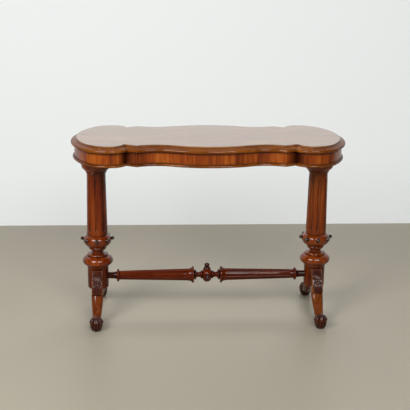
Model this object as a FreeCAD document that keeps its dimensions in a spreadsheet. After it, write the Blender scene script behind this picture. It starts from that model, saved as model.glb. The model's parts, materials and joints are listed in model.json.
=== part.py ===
import FreeCAD, Part
import os
import re

import Sketcher
from FreeCAD import Placement, Rotation, Vector

# Stretcher table: a shaped top with a moulded edge and frieze on two turned columns, each with a front
# and a back scroll leg, tied by a turned and fluted stretcher. Millimetres, Z up, front towards -Y,
# origin on the floor under the middle of the top.

SIZES = {
    # Top field: runs from the end inwards to lobe, notch, corner and hollow, depths from the lobe
    "field_half_length": 501,
    "lobe_length": 131,
    "lobe_neck": 53,
    "return_run": 47,
    "corner_run": 70,
    "lobe_reach": 211,
    "lobe_corner_radius": 95,
    "notch_depth": 44,
    "trough_depth": 35,
    "centre_swell": 4,
    "hollow_radius": 155,
    # Moulded edge of the top
    "quirk_depth": 4.5,
    "quirk_width": 2.5,
    "cove_width": 11.5,
    "cove_drop": 6.5,
    "cove_sag": 1.5,
    "nose_radius": 7,
    # Frieze and the bead along its lower edge
    "frieze_height": 52,
    "frieze_offset": 8,
    "frieze_thickness": 26,
    "frieze_back_inset": 19,
    "frieze_hollow": 40,
    "frieze_hollow_margin": 90,
    "bead_lip": 1.5,
    "bead_step": 1,
    "bead_radius": 4.5,
    "bead_fillet": 3,
    # Bearer boards, cleats and glue blocks under the top
    "bearer_skin": 4,
    "bearer_edge_gap": 0.2,
    "cleat_width": 26,
    "cleat_offset": 22,
    "cleat_half_length": 80,
    "block_side": 24,
    "block_end_gap": 17,
    # Joints between turned pieces
    "spigot_radius": 13,
    "spigot_length": 20,
    "fit_gap": 0.1,
    "end_gap": 1,
    # Columns
    "column_inset": 71,
    "capital_neck_step": 1,
    "capital_bead_height": 10,
    "capital_bead_bulge": 3,
    "capital_cove_rise": 11,
    "capital_cove_sag": 2.5,
    "capital_torus_root": 45,
    "capital_torus_height": 23,
    "capital_torus_bulge": 9,
    "capital_fillet_radius": 49,
    "capital_fillet_height": 4,
    "capital_plate_radius": 57,
    "capital_plate_height": 20,
    "shaft_height": 245,
    "shaft_foot_radius": 40,
    "shaft_head_radius": 36,
    "flute_count": 8,
    "flute_radius": 8,
    "flute_depth": 4,
    "flute_foot_margin": 22,
    "flute_head_margin": 26,
    "cup_ring_radius": 32,
    "cup_ring_height": 11,
    "cup_ring_bulge": 2.5,
    "cup_bowl_foot_radius": 37,
    "cup_bowl_radius": 52,
    "cup_bowl_height": 34,
    "cup_shoulder_height": 17,
    "bulb_lip_radius": 45,
    "bulb_lip_height": 3,
    "bulb_root_radius": 43,
    "bulb_radius": 57,
    "bulb_lower_height": 24,
    "bulb_lower_bulge": 4.5,
    "bulb_upper_height": 21,
    "bulb_upper_bulge": 3,
    "collar_foot_radius": 39,
    "collar_head_radius": 34,
    "collar_height": 10,
    "collar_bulge": 3.5,
    "neck_bead_radius": 23,
    "neck_bead_height": 5.5,
    "neck_bead_bulge": 2.5,
    "neck_head_radius": 24,
    "neck_height": 8.5,
    "neck_sag": 2,
    "drum_lift": 111,
    "drum_height": 85,
    "drum_radius": 41,
    "drum_edge": 6,
    # Buttons of the cups and of the boss
    "button_count": 8,
    "button_peg_radius": 4,
    "button_peg_length": 8,
    "button_stem": 2,
    "button_stem_radius": 5.5,
    "button_rim_radius": 8.5,
    "button_rim_reach": 5,
    "button_dome_radius": 7.5,
    "button_dome_reach": 6.5,
    "button_reach": 14,
    "boss_seat_depth": 3.5,
    # Stretcher
    "stretcher_level": 47,
    "tenon_radius": 10,
    "tenon_length": 20,
    "arm_seat_depth": 3,
    "arm_neck_radius": 13,
    "arm_neck_flare": 15,
    "arm_neck_length": 36,
    "arm_neck_sag": 1,
    "arm_collar_radius": 22,
    "arm_collar_width": 9,
    "arm_collar_bulge": 3,
    "arm_small_radius": 17.5,
    "arm_large_radius": 24,
    "arm_flute_radius": 5,
    "arm_flute_depth": 2.2,
    "arm_flute_margin": 18,
    "hub_ring_radius": 30.5,
    "hub_ring_width": 8,
    "hub_ring_bulge": 3,
    "hub_gap": 2,
    "hub_gap_radius": 15,
    "hub_small_radius": 18,
    "hub_small_width": 7,
    "hub_small_bulge": 2.2,
    "boss_half_length": 43,
    "boss_spigot_radius": 6,
    "boss_head_radius": 14,
    "boss_neck_sag": 3.5,
    "boss_bead_radius": 13,
    "boss_bead_width": 8,
    "boss_bead_bulge": 3,
    "boss_ball_edge": 17.5,
    "boss_ball_root": 16,
    "boss_ball_bulge": 13.5,
    # Finial on the boss
    "finial_peg_radius": 3,
    "finial_peg_length": 10,
    "finial_base_radius": 14.5,
    "finial_base_height": 2,
    "finial_bell_height": 7,
    "finial_bell_sag": 3,
    "finial_neck_radius": 3.5,
    "finial_knob_radius": 10.5,
    "finial_knob_level": 6.5,
    "finial_knob_height": 13,
    "finial_knob_bulge": 2,
    # Scroll legs, reaches from the seat on the drum
    "leg_seat_depth": 6,
    "leg_width": 43,
    "leg_head_gap": 5,
    "leg_heel": 8,
    "knee_head_run": 14,
    "knee_run": 64,
    "knee_bulge": 8,
    "knee_foot": 2,
    "knee_heel_run": 42,
    "knee_heel_drop": 6,
    "knee_round": 6,
    "oval_share": 0.72,
    "shank_start_run": 22,
    "shank_start_rise": 18,
    "shank_start_depth": 36,
    "shank_start_width": 42,
    "shank_start_tilt": 38,
    "shank_upper_share": 0.36,
    "shank_upper_drop": 0.46,
    "shank_upper_depth": 31,
    "shank_upper_width": 44,
    "shank_upper_tilt": 41,
    "shank_lower_share": 0.7,
    "shank_lower_drop": 0.8,
    "shank_lower_depth": 28,
    "shank_lower_width": 36,
    "shank_lower_tilt": 50,
    "ankle_inset": 20,
    "ankle_rise": 6,
    "ankle_depth": 28,
    "ankle_width": 34,
    "ankle_tilt": 64,
    "toe_reach": 178,
    "toe_flat": 5,
    "toe_half_depth": 28,
    "toe_half_width": 24.5,
    "toe_half_height": 29.5,
    "toe_groove_depth": 3,
    "toe_groove_width": 5,
    "toe_groove_clear": 4,
    "toe_groove_spread": 11,
    "toe_groove_sweep": 190,
    "dowel_radius": 5,
    "dowel_bite": 18,
    "dowel_head_margin": 20,
    "dowel_heel_margin": 14,
}

doc = FreeCAD.newDocument("stretcher_table")
sheet = doc.addObject("Spreadsheet::Sheet", "Sizes")
for row, (name, value) in enumerate(SIZES.items(), start=1):
    sheet.set(f"A{row}", name)
    sheet.set(f"B{row}", str(value))
    sheet.setAlias(f"B{row}", name)
lines = doc.addObject("App::VarSet", "Lines")
doc.recompute()
derived = set()


def bound(text):
    """Expression with every named size written as a cell and every derived value as a property."""
    def full(match):
        word = match.group(0)
        if word in SIZES:
            return "Sizes." + word
        return "Lines." + word if word in derived else word
    return re.sub(r"[a-z][a-z0-9_]*", full, text)


def number(text):
    return float(sheet.evalExpression(bound(text)))


def derive(word, text):
    """Named value worked out from the sizes and kept live in the tree."""
    lines.addProperty("App::PropertyFloat", word)
    lines.setExpression(word, bound(text))
    derived.add(word)
    doc.recompute()


def origin(body, role):
    return next(item for item in body.Origin.OriginFeatures if item.Role == role)


def new_body(label):
    body = doc.addObject("PartDesign::Body", label)
    body.Label = label
    return body


def place(body, along="0", across="0", up="0", turn=0):
    """Set a body down at its place, turned about the upright axis."""
    body.Placement = Placement(Vector(), Rotation(Vector(0, 0, 1), turn))
    for axis, text in zip("xyz", (along, across, up)):
        body.setExpression("Placement.Base." + axis, bound(text))


def arc_radius(start, end, bulge):
    """Radius of the arc between two points that rises above its chord by the bulge."""
    chord = f"((({end[0]}) - ({start[0]}))^2 + (({end[1]}) - ({start[1]}))^2)"
    return f"({chord} / (8 * ({bulge})) + ({bulge}) / 2)"


def draw(body, label, plane, points, arcs=None, closed=True):
    """Sketch through the points; arcs gives the radius and turn (1 left, -1 right) of a numbered side."""
    arcs = arcs or {}
    sketch = body.newObject("Sketcher::SketchObject", label)
    sketch.AttachmentSupport = [(origin(body, plane), "")]
    sketch.MapMode = "FlatFace"
    spots = [Vector(number(x), number(y), 0) for x, y in points]
    count = len(spots) if closed else len(spots) - 1
    ends = []
    shapes = []
    for side in range(count):
        start, end = spots[side], spots[(side + 1) % len(spots)]
        if side not in arcs:
            shapes.append(Part.LineSegment(start, end))
            ends.append((1, 2))
            continue
        radius, turn = number(arcs[side][0]), arcs[side][1]
        chord = end - start
        height = max(radius ** 2 - chord.Length ** 2 / 4, 0) ** 0.5
        left = Vector(-chord.y, chord.x, 0).normalize()
        middle = (start + end) * 0.5
        centre = middle + left * (height * turn)
        through = centre - left * (radius * turn)
        if turn > 0:
            shapes.append(Part.Arc(start, through, end))
            ends.append((1, 2))
        else:
            shapes.append(Part.Arc(end, through, start))
            ends.append((2, 1))
    sketch.addGeometry(shapes)
    rules = []
    texts = {}
    for side in range(count if closed else count - 1):
        after = (side + 1) % count
        rules.append(Sketcher.Constraint("Coincident", side, ends[side][1], after, ends[after][0]))
    for index, point in enumerate(points):
        side, end = (index, 0) if index < count else (count - 1, 1)
        for kind, text, axis in (("DistanceX", point[0], -2), ("DistanceY", point[1], -1)):
            if text == "0":
                rules.append(Sketcher.Constraint("PointOnObject", side, ends[side][end], axis))
                continue
            texts[len(rules)] = text
            rules.append(Sketcher.Constraint(kind, side, ends[side][end], number(text)))
    for side, (text, turn) in arcs.items():
        texts[len(rules)] = text
        rules.append(Sketcher.Constraint("Radius", side, number(text)))
    sketch.addConstraint(rules)
    for index, text in texts.items():
        sketch.setExpression(f"Constraints[{index}]", bound(text))
    return sketch


def add_axis(sketch, start, end):
    """Construction line in a sketch for a feature to turn about."""
    shape = Part.LineSegment(Vector(number(start[0]), number(start[1]), 0),
                             Vector(number(end[0]), number(end[1]), 0))
    line = sketch.addGeometry(shape, True)
    for spot, point in ((1, start), (2, end)):
        for kind, text, axis in (("DistanceX", point[0], -2), ("DistanceY", point[1], -1)):
            if text == "0":
                sketch.addConstraint(Sketcher.Constraint("PointOnObject", line, spot, axis))
                continue
            rule = sketch.addConstraint(Sketcher.Constraint(kind, line, spot, number(text)))
            sketch.setExpression(f"Constraints[{rule}]", bound(text))


def feature(body, kind, label, sketch=None):
    made = body.newObject("PartDesign::" + kind, label)
    if sketch is not None:
        made.Profile = sketch
        sketch.Visibility = False
    return made


def pad(body, label, sketch, length, symmetric=False):
    made = feature(body, "Pad", label, sketch)
    made.SideType = "Symmetric" if symmetric else "One side"
    made.setExpression("Length", bound(length))
    return made


def pocket_all(body, label, sketch):
    """Cut a sketch right through the body to both sides."""
    made = feature(body, "Pocket", label, sketch)
    made.SideType = "Symmetric"
    made.Type = "ThroughAll"
    return made


def revolve(body, label, sketch, axis, cut=False):
    made = feature(body, "Groove" if cut else "Revolution", label, sketch)
    made.ReferenceAxis = (sketch, ["Axis0"]) if axis is None else (origin(body, axis), [""])
    made.Angle = 360
    return made


def ring(body, label, items, count, axis="Z_Axis"):
    """Polar pattern of features about an axis of the body."""
    doc.recompute()
    made = feature(body, "PolarPattern", label)
    made.Originals = items
    made.Axis = (origin(body, axis), [""])
    made.Angle = 360
    made.setExpression("Occurrences", bound(count))
    body.Tip = made
    return made


def mirror(body, label, items, plane):
    doc.recompute()
    made = feature(body, "Mirrored", label)
    made.Originals = items
    made.MirrorPlane = (origin(body, plane), [""])
    body.Tip = made
    return made


def turned(body, label, points, bulges, plane="XZ_Plane", axis="Z_Axis", cut=False):
    """Turn a half outline about an axis; bulges gives the rise and turn of a numbered side."""
    arcs = {}
    for side, (bulge, turn) in bulges.items():
        arcs[side] = (arc_radius(points[side], points[(side + 1) % len(points)], bulge), turn)
    sketch = draw(body, label + "_outline", plane, points, arcs)
    return revolve(body, label, sketch, axis, cut)


# Plan of the top and heights of the turned pieces
derive("lobe_offset", "field_half_length - lobe_length")
derive("notch_offset", "lobe_offset - lobe_neck")
derive("corner_offset", "notch_offset - return_run")
derive("trough_offset", "corner_offset - corner_run")
derive("notch_reach", "lobe_reach - notch_depth")
derive("trough_reach", "lobe_reach - trough_depth")
derive("centre_reach", "lobe_reach + centre_swell")
derive("frieze_back_reach", "notch_reach - frieze_back_inset")
derive("column_offset", "field_half_length - column_inset")
derive("bearer_thickness", "spigot_length + end_gap + bearer_skin")
derive("block_length", "frieze_hollow_margin - 2 * block_end_gap")
derive("capital_cove_level", "capital_bead_height + capital_cove_rise")
derive("capital_torus_level", "capital_cove_level + capital_torus_height")
derive("capital_plate_level", "capital_torus_level + capital_fillet_height")
derive("capital_height", "capital_plate_level + capital_plate_height")
derive("capital_neck_radius", "shaft_head_radius + capital_neck_step")
derive("cup_bowl_level", "cup_ring_height + cup_bowl_height")
derive("cup_height", "cup_bowl_level + cup_shoulder_height")
derive("bulb_widest_level", "bulb_lip_height + bulb_lower_height")
derive("bulb_top_level", "bulb_widest_level + bulb_upper_height")
derive("bulb_collar_level", "bulb_top_level + collar_height")
derive("bulb_height", "bulb_collar_level + neck_bead_height + neck_height")

# Levels of the column stack above the floor
derive("bulb_foot", "drum_lift + drum_height")
derive("cup_foot", "bulb_foot + bulb_height")
derive("shaft_foot", "cup_foot + cup_height")
derive("capital_foot", "shaft_foot + shaft_height")
derive("frieze_foot", "capital_foot + capital_height")
derive("top_foot", "frieze_foot + frieze_height")
derive("top_thickness", "quirk_depth + cove_drop + 2 * nose_radius")
derive("moulding_width", "quirk_width + cove_width + nose_radius")
derive("bead_width", "bead_lip + bead_step + bead_radius")

# Lines of the columns, the stretcher and the legs
derive("button_rise", "button_reach - button_dome_reach")
derive("button_dome", "(button_dome_radius^2 + button_rise^2) / (2 * button_rise)")
derive("finial_rise", "finial_knob_height - finial_knob_level")
derive("finial_dome", "(finial_knob_radius^2 + finial_rise^2) / (2 * finial_rise)")
derive("bowl_run", "cup_bowl_radius - cup_bowl_foot_radius")
derive("shoulder_run", "cup_bowl_radius - shaft_foot_radius")
derive("bowl_radius", "(bowl_run^2 + cup_bowl_height^2) / (2 * bowl_run)")
derive("shoulder_radius", "(shoulder_run^2 + cup_shoulder_height^2) / (2 * shoulder_run)")
derive("bowl_bulge", "bowl_radius - sqrt(bowl_radius^2 - (bowl_run^2 + cup_bowl_height^2) / 4)")
derive("shoulder_bulge", "shoulder_radius"
                         " - sqrt(shoulder_radius^2 - (shoulder_run^2 + cup_shoulder_height^2) / 4)")
derive("shaft_slope", "(shaft_foot_radius - shaft_head_radius) / shaft_height")
derive("stretcher_height", "drum_lift + stretcher_level")
derive("arm_start", "boss_half_length + hub_small_width + hub_gap + hub_ring_width")
derive("arm_seat", "drum_radius - arm_seat_depth")
derive("arm_seat_x", "column_offset - arm_seat")
derive("arm_collar_x", "arm_seat_x - arm_neck_length")
derive("arm_end", "arm_collar_x - arm_collar_width")
derive("arm_slope", "(arm_large_radius - arm_small_radius) / (arm_end - arm_start)")
derive("boss_seat", "boss_ball_root + boss_ball_bulge - boss_seat_depth")
derive("leg_flat", "drum_radius - leg_seat_depth")
derive("leg_head", "drum_height - leg_head_gap")
derive("knee_reach", "leg_flat + knee_run")
derive("knee_head_reach", "leg_flat + knee_head_run")
derive("knee_heel_reach", "leg_flat + knee_heel_run")
derive("dowel_upper", "leg_head - dowel_head_margin")
derive("dowel_lower", "leg_heel + dowel_heel_margin")
derive("toe_level", "toe_half_height - toe_flat")
derive("ankle_reach", "toe_reach - ankle_inset")
derive("ankle_level", "toe_level + ankle_rise")
derive("shank_start_reach", "leg_flat + shank_start_run")
derive("shank_start_level", "drum_lift + shank_start_rise")
derive("shank_fall", "shank_start_level - ankle_level")
derive("shank_run", "ankle_reach - shank_start_reach")
derive("toe_side_depth", "toe_half_depth * sqrt(1 - (toe_groove_spread / toe_half_width)^2)")

# Radii and joints of the field line: a bulge, a hollow, a straight return and three lobe arcs
derive("rise", "centre_reach - trough_reach")
derive("span_square", "trough_offset^2 + rise^2")
derive("bulge_radius", "span_square / (2 * rise) - hollow_radius")
derive("bend_sine", "2 * trough_offset * rise / span_square")
derive("bend_cosine", "(trough_offset^2 - rise^2) / span_square")
derive("corner_reach", "trough_reach + hollow_radius - sqrt(hollow_radius^2 - corner_run^2)")
derive("return_length", "sqrt(return_run^2 + (corner_reach - notch_reach)^2)")
derive("waste_run", "return_length + 2 * moulding_width")
derive("return_x", "return_run / return_length")
derive("return_y", "(corner_reach - notch_reach) / return_length")
derive("inner_radius", "(lobe_neck^2 + notch_depth^2) / (2 * notch_depth)")
derive("end_radius", "(lobe_length^2 + lobe_reach^2 - 2 * lobe_reach * lobe_corner_radius)"
                     " / (2 * (lobe_length - lobe_corner_radius))")
derive("end_centre", "field_half_length - end_radius")
derive("joint_x", "(lobe_offset - end_centre) / (end_radius - lobe_corner_radius)")
derive("joint_y", "(lobe_reach - lobe_corner_radius) / (end_radius - lobe_corner_radius)")
derive("corner_along", "corner_run * return_x + (trough_reach + hollow_radius - corner_reach) * return_y")
derive("corner_square", "corner_run * return_y - (trough_reach + hollow_radius - corner_reach) * return_x")
derive("notch_along", "lobe_neck * return_x + (notch_reach + inner_radius - lobe_reach) * return_y")
derive("notch_square", "(notch_reach + inner_radius - lobe_reach) * return_x - lobe_neck * return_y")


def corner_at(gap):
    """Meeting point of the hollow and the return, both moved out by the gap."""
    slide = f"(sqrt(corner_along^2 - 2 * ({gap}) * (corner_square + hollow_radius)) - corner_along)"
    return (f"corner_offset + ({gap}) * return_y + {slide} * return_x",
            f"-corner_reach - ({gap}) * return_x + {slide} * return_y")


def notch_at(gap):
    """Meeting point of the return and the lobe, both moved out by the gap."""
    slide = f"(notch_along - sqrt(notch_along^2 + 2 * ({gap}) * (inner_radius - notch_square)))"
    return (f"notch_offset + ({gap}) * return_y + {slide} * return_x",
            f"-notch_reach - ({gap}) * return_x + {slide} * return_y")


def front_line(gap):
    """Front middle to the right-hand corner, moved out by the gap."""
    bend = (f"(bulge_radius + ({gap})) * bend_sine",
            f"bulge_radius - centre_reach - (bulge_radius + ({gap})) * bend_cosine")
    points = [("0", f"-centre_reach - ({gap})"), bend, corner_at(gap)]
    return points, [(f"bulge_radius + ({gap})", 1), (f"hollow_radius - ({gap})", -1)]


def lobe_line(gap):
    """Front of the right-hand lobe to the middle of the end, moved out by the gap."""
    joint = (f"end_centre + (end_radius + ({gap})) * joint_x", f"-(end_radius + ({gap})) * joint_y")
    points = [("lobe_offset", f"-lobe_reach - ({gap})"), joint, (f"field_half_length + ({gap})", "0")]
    return points, [(f"lobe_corner_radius + ({gap})", 1), (f"end_radius + ({gap})", 1)]


def end_line(gap):
    """Right-hand notch to the middle of the end, moved out by the gap."""
    points, arcs = lobe_line(gap)
    return [notch_at(gap)] + points, [(f"inner_radius + ({gap})", 1)] + arcs


def negated(text):
    return "0" if text == "0" else f"-({text})"


def flipped(line, along):
    """The same line run backwards on the other side of an axis."""
    points, arcs = line
    if along:
        points = [(negated(x), y) for x, y in points]
    else:
        points = [(x, negated(y)) for x, y in points]
    return points[::-1], arcs[::-1]


def joined(*pieces):
    """One closed run of points and numbered arcs from lines that follow each other."""
    points, arcs = [], {}
    for line_points, line_arcs in pieces:
        if points and points[-1] == line_points[0]:
            points.pop()
        for side, arc in enumerate(line_arcs):
            if arc is not None:
                arcs[len(points) + side] = arc
        points.extend(line_points)
    if points[-1] == points[0]:
        points.pop()
    return points, arcs


def straight(*points):
    return list(points), [None] * (len(points) - 1)


nodes = []

# Top field: one shaped board
body = new_body("top_panel")
right_front = [front_line("0"), end_line("0")]
right_back = [flipped(end_line("0"), False), flipped(front_line("0"), False)]
left_back = [flipped(line, True) for line in right_back[::-1]]
left_front = [flipped(line, True) for line in right_front[::-1]]
sketch = draw(body, "top_panel_outline", "XY_Plane",
              *joined(*right_front, *right_back, *left_back, *left_front))
pad(body, "top_panel_board", sketch, "top_thickness")
place(body, up="top_foot")
nodes.append(body)


def moulding_section(gap):
    """Quirk, shallow cove and round nose, from the edge of the field outwards."""
    cove_head = (f"({gap}) + quirk_width", "2 * nose_radius + cove_drop")
    cove_foot = (f"({gap}) + quirk_width + cove_width", "2 * nose_radius")
    points = [(gap, "0"), (gap, "2 * nose_radius + cove_drop"), cove_head, cove_foot,
              (f"({gap}) + moulding_width", "nose_radius"), (cove_foot[0], "0")]
    arcs = {2: (arc_radius(cove_head, cove_foot, "cove_sag"), 1),
            3: ("nose_radius", -1), 4: ("nose_radius", -1)}
    return points, arcs


def bead_section(gap):
    """Fillet over a half-round bead, from the face of the frieze outwards."""
    root = f"({gap}) + bead_lip + bead_step"
    points = [(gap, "0"), (gap, "2 * bead_radius + bead_fillet"),
              (f"({gap}) + bead_lip", "2 * bead_radius + bead_fillet"),
              (f"({gap}) + bead_lip", "2 * bead_radius"), (root, "2 * bead_radius"),
              (f"({gap}) + bead_width", "bead_radius"), (root, "0")]
    return points, {4: ("bead_radius", -1), 5: ("bead_radius", -1)}


def swept(body, label, section, path):
    made = feature(body, "AdditivePipe", label, section)
    made.Spine = (path, [])
    path.Visibility = False
    return made


def beyond(start, end):
    """Point on the line through two points, as far past the second one as it is from the first."""
    return tuple(f"2 * ({b}) - ({a})" for a, b in zip(start, end))


def edge_lengths(prefix, section, inner, width, foot):
    """Mitred lengths of a moulding round the top: front, back, two ends and four returns."""
    outer = f"({inner}) + {width}"
    corner_in, corner_out = corner_at(inner), corner_at(outer)
    notch_in, notch_out = notch_at(inner), notch_at(outer)
    corner_far, corner_near = beyond(corner_in, corner_out), beyond(corner_out, corner_in)
    notch_far, notch_near = beyond(notch_in, notch_out), beyond(notch_out, notch_in)
    for side, turn in (("front", 0), ("back", 180)):
        body = new_body(f"{prefix}_{side}")
        points, arcs = section(inner)
        flat = [(f"-centre_reach - ({x})", z) for x, z in points]
        turns = {key: (radius, -bend) for key, (radius, bend) in arcs.items()}
        shape = draw(body, f"{prefix}_{side}_section", "YZ_Plane", flat, turns)
        points, arcs = front_line(outer)
        path = draw(body, f"{prefix}_{side}_path", "XY_Plane", points, dict(enumerate(arcs)), False)
        run = swept(body, f"{prefix}_{side}_run", shape, path)
        waste = draw(body, f"{prefix}_{side}_mitre", "XY_Plane",
                     [corner_near, corner_far, notch_far, notch_near])
        mitre = pocket_all(body, f"{prefix}_{side}_cut", waste)
        mirror(body, f"{prefix}_{side}_whole", [run, mitre], "YZ_Plane")
        place(body, up=foot, turn=turn)
        nodes.append(body)
    for side, turn in (("right", 0), ("left", 180)):
        body = new_body(f"{prefix}_{side}")
        points, arcs = section(inner)
        flat = [(f"field_half_length + ({x})", z) for x, z in points]
        shape = draw(body, f"{prefix}_{side}_section", "XZ_Plane", flat, arcs)
        points, arcs = flipped(end_line(inner), False)
        path = draw(body, f"{prefix}_{side}_path", "XY_Plane", points, dict(enumerate(arcs)), False)
        run = swept(body, f"{prefix}_{side}_run", shape, path)
        near = (notch_near[0], negated(notch_near[1]))
        far = (notch_far[0], negated(notch_far[1]))
        waste = draw(body, f"{prefix}_{side}_mitre", "XY_Plane",
                     [near, far, (corner_far[0], negated(corner_far[1])), (corner_near[0], "0")])
        mitre = pocket_all(body, f"{prefix}_{side}_cut", waste)
        mirror(body, f"{prefix}_{side}_whole", [run, mitre], "XZ_Plane")
        place(body, up=foot, turn=turn)
        nodes.append(body)


edge_lengths("top_moulding", moulding_section, "0", "moulding_width", "top_foot")
edge_lengths("bead", bead_section, "frieze_offset", "bead_width", "frieze_foot")


def compound(label, items):
    made = doc.addObject("Part::Compound", label)
    made.Label = label
    made.Links = items
    nodes.append(made)


def mirrored_copy(source, label, normal):
    made = doc.addObject("Part::Mirroring", label)
    made.Source = source
    made.Normal = normal
    return made


def four_corners(label, source):
    """A front right-hand piece with its three mirror images."""
    left = mirrored_copy(source, label + "_front_left", Vector(1, 0, 0))
    back = mirrored_copy(source, label + "_back_right", Vector(0, 1, 0))
    across = mirrored_copy(left, label + "_back_left", Vector(0, 1, 0))
    compound(label, [source, left, back, across])


def shifted(point, run):
    """Point moved along the return."""
    return f"({point[0]}) + ({run}) * return_x", f"({point[1]}) + ({run}) * return_y"


def return_lengths(prefix, section, inner, width, foot):
    """Short straight lengths between corner and notch, mitred at both ends."""
    outer = f"({inner}) + {width}"
    body = new_body(f"{prefix}_return")
    points, arcs = section("0")
    flat = [(negated(x), z) for x, z in points]
    turns = {key: (radius, -bend) for key, (radius, bend) in arcs.items()}
    shape = draw(body, f"{prefix}_return_section", "YZ_Plane", flat, turns)
    start = shifted(corner_at(inner), "-waste_run")
    shape.AttachmentOffset = Placement(Vector(), Rotation(Vector(0, 1, 0), 1))
    shape.setExpression("AttachmentOffset.Base.x", bound(start[1]))
    shape.setExpression("AttachmentOffset.Base.z", bound(start[0]))
    shape.setExpression("AttachmentOffset.Rotation.Angle", bound("atan(return_y / return_x)"))
    pad(body, f"{prefix}_return_run", shape, "return_length + 2 * waste_run")
    corner_in, corner_out = corner_at(inner), corner_at(outer)
    notch_in, notch_out = notch_at(inner), notch_at(outer)
    for name, near, far, way in (
            ("corner", beyond(corner_out, corner_in), beyond(corner_in, corner_out), "-2 * waste_run"),
            ("notch", beyond(notch_out, notch_in), beyond(notch_in, notch_out), "2 * waste_run")):
        waste = draw(body, f"{prefix}_return_{name}", "XY_Plane",
                     [near, far, shifted(far, way), shifted(near, way)])
        pocket_all(body, f"{prefix}_return_{name}_cut", waste)
    place(body, up=foot)
    four_corners(f"{prefix}_returns", body)


return_lengths("top_moulding", moulding_section, "0", "moulding_width", "top_foot")
return_lengths("bead", bead_section, "frieze_offset", "bead_width", "frieze_foot")

# Frieze rails: shaped outside, hollowed behind, butted at the notches
rail_notch = notch_at("frieze_offset")
rail_back = "-frieze_back_reach"
hollow_end = (f"{rail_notch[0]} - frieze_hollow_margin", rail_back)
hollow_start = (negated(hollow_end[0]), rail_back)
for side, turn in (("front", 0), ("back", 180)):
    body = new_body(f"frieze_{side}")
    right = front_line("frieze_offset")
    points, arcs = joined(
        flipped(right, True), right, straight(right[0][-1], rail_notch),
        straight(rail_notch, (rail_notch[0], rail_back), hollow_end),
        ([hollow_end, hollow_start], [(arc_radius(hollow_end, hollow_start, "frieze_hollow"), -1)]),
        straight(hollow_start, (negated(rail_notch[0]), rail_back)),
        straight((negated(rail_notch[0]), rail_back), (negated(rail_notch[0]), rail_notch[1])))
    sketch = draw(body, f"frieze_{side}_outline", "XY_Plane", points, arcs)
    pad(body, f"frieze_{side}_rail", sketch, "frieze_height")
    place(body, up="frieze_foot", turn=turn)
    nodes.append(body)
for side, turn in (("right", 0), ("left", 180)):
    body = new_body(f"frieze_{side}")
    outer = end_line("frieze_offset")
    inner = lobe_line("frieze_offset - frieze_thickness")
    inner_points, inner_arcs = inner
    back_points, back_arcs = flipped(inner, False)
    inward = (inner_points + back_points[1:])[::-1]
    bends = [(radius, -1) for radius, bend in (inner_arcs + back_arcs)[::-1]]
    points, arcs = joined(
        outer, flipped(outer, False),
        straight((rail_notch[0], negated(rail_notch[1])), (rail_notch[0], "frieze_back_reach"), inward[0]),
        (inward, bends),
        straight(inward[-1], (rail_notch[0], rail_back)))
    sketch = draw(body, f"frieze_{side}_outline", "XY_Plane", points, arcs)
    pad(body, f"frieze_{side}_rail", sketch, "frieze_height")
    place(body, up="frieze_foot", turn=turn)
    nodes.append(body)

# Bearer board in each lobe, bored for the column, with two cleats up to the top
bearer_gap = "frieze_offset - frieze_thickness - bearer_edge_gap"
for side, turn in (("right", 0), ("left", 180)):
    body = new_body(f"bearer_{side}")
    half = lobe_line(bearer_gap)
    sketch = draw(body, f"bearer_{side}_outline", "XY_Plane", *joined(half, flipped(half, False)))
    pad(body, f"bearer_{side}_board", sketch, "bearer_thickness")
    bore = "column_offset + spigot_radius + fit_gap"
    depth = "spigot_length + end_gap"
    sketch = draw(body, f"bearer_{side}_bore", "XZ_Plane",
                  [("column_offset", "0"), (bore, "0"), (bore, depth), ("column_offset", depth)])
    add_axis(sketch, ("column_offset", "0"), ("column_offset", depth))
    revolve(body, f"bearer_{side}_socket", sketch, None, cut=True)
    place(body, up="frieze_foot", turn=turn)
    nodes.append(body)
    cleats = []
    for name, shift in (("inner", "-cleat_offset"), ("outer", "+ cleat_offset")):
        box = doc.addObject("Part::Box", f"cleat_{side}_{name}")
        box.setExpression("Length", bound("cleat_width"))
        box.setExpression("Width", bound("2 * cleat_half_length"))
        box.setExpression("Height", bound("frieze_height - bearer_thickness"))
        middle = f"(column_offset {shift})"
        middle = negated(middle) if side == "left" else middle
        box.setExpression("Placement.Base.x", bound(f"{middle} - cleat_width / 2"))
        box.setExpression("Placement.Base.y", bound("-cleat_half_length"))
        box.setExpression("Placement.Base.z", bound("frieze_foot + bearer_thickness"))
        cleats.append(box)
    compound(f"cleats_{side}", cleats)

# Glue blocks in the angle between the long rails and the top
body = new_body("glue_block")
sketch = draw(body, "glue_block_section", "YZ_Plane",
              [(rail_back, "0"), ("block_side - frieze_back_reach", "0"), (rail_back, "-block_side")])
pad(body, "glue_block_prism", sketch, "block_length", symmetric=True)
place(body, along=f"{rail_notch[0]} - frieze_hollow_margin / 2", up="top_foot")
four_corners("glue_blocks", body)


def stacked(label, height, outside, bulges, socket=True):
    """Turned piece of a column: socket below, the outside from foot to head, spigot above."""
    body = new_body(label)
    depth = "spigot_length + end_gap"
    bore = "spigot_radius + fit_gap"
    start = [("0", depth), (bore, depth), (bore, "0")] if socket else [("0", "0")]
    end = [("spigot_radius", height), ("spigot_radius", f"{height} + spigot_length"),
           ("0", f"{height} + spigot_length")]
    arcs = {side + len(start): bulge for side, bulge in bulges.items()}
    turned(body, label + "_turning", start + outside + end, arcs)
    nodes.append(body)
    return body


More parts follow.
